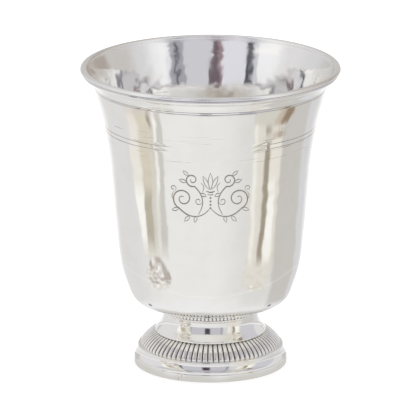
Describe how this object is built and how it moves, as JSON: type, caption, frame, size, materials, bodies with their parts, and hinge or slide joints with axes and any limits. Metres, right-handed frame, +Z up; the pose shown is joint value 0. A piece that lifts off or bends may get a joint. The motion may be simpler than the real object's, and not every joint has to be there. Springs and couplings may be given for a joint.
{
  "type": "tulip beaker",
  "caption": "Footed silver drinking beaker with a flared tulip bowl, reeded lip, beaded collar, waisted neck and gadrooned spreading foot.",
  "frame": {"origin": "centre of the foot, on the surface it stands on", "axes": "+Z up along the beaker's axis, towards the mouth; +X to the right and -Y towards the viewer, where the engraved ornament is"},
  "size_m": [0.0998, 0.0998, 0.118],
  "materials": {
    "silver_polished": "hand-polished old silver, with fine wear scratches and softly uneven reflections",
    "silver_darkened": "polished silver on the high points, dark with tarnish in the grooves between the lobes and beads",
    "silver_solder": "hard silver solder, slightly greyer and duller than the sheet"
  },
  "bodies": {
    "root": {"bowl": "silver_polished", "lip_moulding": "silver_polished", "bead_collar": "silver_darkened", "collar_wire": "silver_polished", "neck": "silver_polished", "gadroon_ring": "silver_darkened", "skirt": "silver_polished", "base_band": "silver_polished", "bowl_solder": "silver_solder", "neck_solder": "silver_solder", "skirt_solder": "silver_solder", "band_solder": "silver_solder"}
  },
  "joints": []
}
